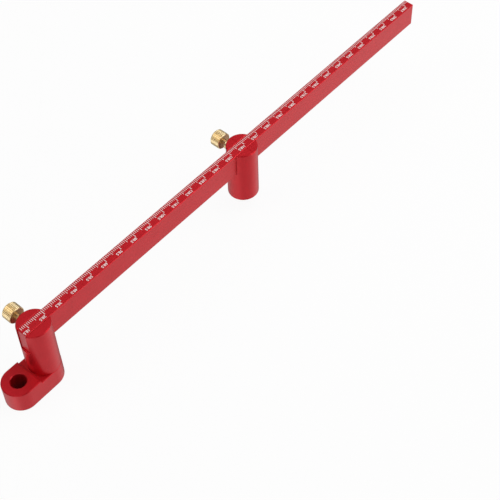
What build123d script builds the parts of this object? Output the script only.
from build123d import *
import os

# Carpenter's beam compass: a flat scale bar lies in the slots of two round posts, and a thumb
# screw in the side of each post clamps it. One post stands on a foot with a bore for the pencil,
# the other carries a steel point.
# Origin: on the pencil bore's axis, in the underside of the foot. +X runs along the bar, +Y to
# the side of the thumb screws, +Z up. Sizes are in millimetres.

# Scale bar
bar_length = 298.3
bar_width = 6.0
bar_height = 14.2
bar_edge = 0.25
bar_setback = 1.05  # from the outer side of the holder's post to the bar's end

# Round posts, the same on both ends
post_diameter = 16.7
post_rim = 0.4
mouth_flare = 0.25
slide_clearance = 0.1  # between the bar and each side of a slot
floor_clearance = 0.05  # between the bar and the floor of a slot

# Pencil holder: a post on an oblong foot. The foot is hardly wider than the post at one end and a
# little wider round the pencil, where a boss stands higher than the ledge beside the post.
holder_height = 43.5
bore_to_post = 16.0
boss_diameter = 17.2
boss_height = 13.0
ledge_height = 11.3
foot_lip = 0.1  # by which the foot stands out all round the post
step_gap = 0.75  # from the step between boss and ledge to the side of the post
foot_edge = 0.3
pencil_bore = 8.0
bore_rim = 0.35

# Centre pillar
pillar_length = 34.5
drawn_radius = 161.55  # from the pencil's axis to the point's, as the compass stands
index_width = 0.35
index_depth = 0.15

# Steel point, pressed into the pillar
point_diameter = 3.0
point_grip = 8.0
point_cone = 5.0
point_flat = 0.3
point_end_gap = 0.5
press_bite = 0.005  # radial, so that the point holds in its bore

# Thumb screw: a threaded stem and a fluted head, which turns on the stem's spigot
thread_diameter = 4.0
thread_clearance = 0.05
screw_drop = 6.0  # from the top of the bar to the screw's axis
tip_gap = 0.05
tip_chamfer = 0.4
collar_gap = 0.45  # from the side of the post to the collar
collar_diameter = 5.6
collar_length = 1.3
collar_edge = 0.2
neck_diameter = 3.0
neck_length = 1.2
spigot_diameter = 2.0
spigot_length = 3.2
spigot_clearance = 0.05
spigot_end_gap = 0.2
head_diameter = 9.1
head_length = 6.0
head_back_edge = 0.35
head_front_edge = 0.7
flute_count = 36
flute_depth = 0.25

# Places that follow from the sizes
post_radius = post_diameter / 2
post_x = bore_to_post
step_x = post_x - post_radius - step_gap
pillar_x = drawn_radius
bar_top = holder_height
bar_start_x = post_x - post_radius + bar_setback
pillar_bottom = bar_top - pillar_length
slot_half = bar_width / 2 + slide_clearance
slot_floor = bar_top - bar_height - floor_clearance
screw_z = bar_top - screw_drop
thread_hole_radius = thread_diameter / 2 + thread_clearance
tip_y = bar_width / 2 + tip_gap
collar_y = post_radius + collar_gap
cove_y = collar_y + collar_length
cove_radius = (collar_diameter - neck_diameter) / 2
head_y = cove_y + cove_radius + neck_length
head_end_y = head_y + head_length

os.makedirs("parts", exist_ok=True)


def slot_section(x):
    """The bar slot's section on the plane through a post's axis, open upwards, with a flared mouth."""
    with BuildSketch(Plane.YZ.offset(x)) as section:
        with BuildLine():
            Polyline(
                (-slot_half, slot_floor),
                (slot_half, slot_floor),
                (slot_half, bar_top - mouth_flare),
                (slot_half + mouth_flare, bar_top),
                (-slot_half - mouth_flare, bar_top),
                (-slot_half, bar_top - mouth_flare),
                close=True,
            )
        make_face()
    return section.sketch


def thread_hole_mouth(x):
    """The plane just outside the mouth of a post's tapped hole, facing along +Y."""
    return Plane(origin=(x, collar_y, screw_z), z_dir=(0, 1, 0))


# Scale bar
with BuildPart() as scale_bar:
    with BuildSketch(Plane.YZ.offset(bar_start_x)):
        with Locations((0, bar_top)):
            Rectangle(bar_width, bar_height, align=(Align.CENTER, Align.MAX))
    extrude(amount=bar_length)
    chamfer(scale_bar.edges(), bar_edge)
scale_bar.part.label = "scale_bar"
export_step(scale_bar.part, "parts/scale_bar.step")

# Pencil holder: the foot, its lower ledge, the post, the slot and the two holes
holder_slot = slot_section(post_x)
with BuildPart() as pencil_holder:
    with BuildSketch():
        Circle(boss_diameter / 2)
        with Locations((post_x, 0)):
            Circle(post_radius + foot_lip)
        make_hull()
    extrude(amount=boss_height)
    with BuildSketch(Plane.XY.offset(boss_height)):
        with Locations((step_x, 0)):
            Rectangle(2 * post_diameter, boss_diameter, align=(Align.MIN, Align.CENTER))
    extrude(amount=ledge_height - boss_height, mode=Mode.SUBTRACT)
    level_faces = pencil_holder.faces().filter_by(Axis.Z).sort_by(Axis.Z)
    underside_edges = level_faces[0].edges()
    ledge_edges = level_faces[1].edges().filter_by(Axis.Y, reverse=True)
    boss_edges = level_faces[2].edges()
    chamfer(underside_edges + ledge_edges + boss_edges, foot_edge)
    with BuildSketch(Plane.XY.offset(ledge_height - 2 * foot_edge)):
        with Locations((post_x, 0)):
            Circle(post_radius)
    extrude(amount=holder_height - ledge_height + 2 * foot_edge)
    chamfer(pencil_holder.faces().sort_by(Axis.Z)[-1].edges(), post_rim)
    extrude(holder_slot, amount=post_diameter, both=True, mode=Mode.SUBTRACT)
    with Locations((0, 0, boss_height)):
        CounterSinkHole(
            radius=pencil_bore / 2,
            counter_sink_radius=pencil_bore / 2 + bore_rim,
            counter_sink_angle=90,
        )
    with Locations(thread_hole_mouth(post_x)):
        Hole(thread_hole_radius, depth=collar_y)
pencil_holder.part.label = "pencil_holder"
export_step(pencil_holder.part, "parts/pencil_holder.step")

# Centre pillar: a plain cylinder with the slot, an index line across its top and two holes
pillar_slot = slot_section(pillar_x)
with BuildPart() as centre_pillar:
    with BuildSketch(Plane.XY.offset(pillar_bottom)):
        with Locations((pillar_x, 0)):
            Circle(post_radius)
    extrude(amount=pillar_length)
    chamfer(centre_pillar.faces().filter_by(Axis.Z).edges(), post_rim)
    with BuildSketch(Plane.XY.offset(bar_top)):
        with Locations((pillar_x, 0)):
            Rectangle(index_width, post_diameter)
    extrude(amount=-index_depth, mode=Mode.SUBTRACT)
    extrude(pillar_slot, amount=post_diameter, both=True, mode=Mode.SUBTRACT)
    with Locations(thread_hole_mouth(pillar_x)):
        Hole(thread_hole_radius, depth=collar_y)
    with Locations(Plane(origin=(pillar_x, 0, pillar_bottom), z_dir=(0, 0, -1))):
        Hole(point_diameter / 2 - press_bite, depth=point_grip + point_end_gap)
centre_pillar.part.label = "centre_pillar"
export_step(centre_pillar.part, "parts/centre_pillar.step")

# Steel point: its tip stands level with the underside of the foot
with BuildPart() as centre_point:
    with BuildSketch(Plane.XZ):
        with BuildLine():
            Polyline(
                (pillar_x, 0),
                (pillar_x + point_flat / 2, 0),
                (pillar_x + point_diameter / 2, point_cone),
                (pillar_x + point_diameter / 2, pillar_bottom + point_grip),
                (pillar_x, pillar_bottom + point_grip),
                close=True,
            )
        make_face()
    revolve(axis=Axis((pillar_x, 0, 0), (0, 0, 1)))
centre_point.part.label = "centre_point"
export_step(centre_point.part, "parts/centre_point.step")

# Thumb screws, one in the side of each post. Profiles run along Y, with the radius as height.
for end_name, x in (("holder", post_x), ("centre", pillar_x)):
    profile_plane = Plane(origin=(x, 0, screw_z), x_dir=(0, 1, 0), z_dir=(1, 0, 0))
    screw_axis = Axis((x, 0, screw_z), (0, 1, 0))
    thread_radius = thread_diameter / 2
    spigot_end_y = collar_y + spigot_length
    bore_end_y = spigot_end_y + spigot_end_gap
    bore_radius = spigot_diameter / 2 + spigot_clearance

    with BuildPart() as screw_stem:
        with BuildSketch(profile_plane):
            with BuildLine():
                Polyline(
                    (tip_y, 0),
                    (tip_y, thread_radius - tip_chamfer),
                    (tip_y + tip_chamfer, thread_radius),
                    (collar_y, thread_radius),
                    (collar_y, spigot_diameter / 2),
                    (spigot_end_y, spigot_diameter / 2),
                    (spigot_end_y, 0),
                    close=True,
                )
            make_face()
        revolve(axis=screw_axis)
    screw_stem.part.label = f"{end_name}_screw_stem"
    export_step(screw_stem.part, f"parts/{end_name}_screw_stem.step")

    with BuildPart() as screw_head:
        with BuildSketch(profile_plane):
            with BuildLine():
                Polyline(
                    (collar_y, bore_radius),
                    (collar_y, collar_diameter / 2 - collar_edge),
                    (collar_y + collar_edge, collar_diameter / 2),
                    (cove_y, collar_diameter / 2),
                )
                CenterArc((cove_y + cove_radius, collar_diameter / 2), cove_radius, 180, 90)
                Polyline(
                    (cove_y + cove_radius, neck_diameter / 2),
                    (head_y, neck_diameter / 2),
                    (head_y, head_diameter / 2 - head_back_edge),
                    (head_y + head_back_edge, head_diameter / 2),
                    (head_end_y - head_front_edge, head_diameter / 2),
                    (head_end_y, head_diameter / 2 - head_front_edge),
                    (head_end_y, 0),
                    (bore_end_y, 0),
                    (bore_end_y, bore_radius),
                    (collar_y, bore_radius),
                )
            make_face()
        revolve(axis=screw_axis)
        with BuildSketch(Plane(origin=(x, head_y, screw_z), z_dir=(0, 1, 0))):
            with PolarLocations(head_diameter / 2, flute_count):
                Rectangle(flute_depth * 2**0.5, flute_depth * 2**0.5, rotation=45)
        extrude(amount=head_length, mode=Mode.SUBTRACT)
    screw_head.part.label = f"{end_name}_screw_head"
    export_step(screw_head.part, f"parts/{end_name}_screw_head.step")

print("post axis x", post_x, "pillar axis x", pillar_x, "screw axis z", screw_z)
print("bar from x", bar_start_x, "to", round(bar_start_x + bar_length, 3), "bottom z", bar_top - bar_height)
print("screw from y", tip_y, "to", round(head_end_y, 3))
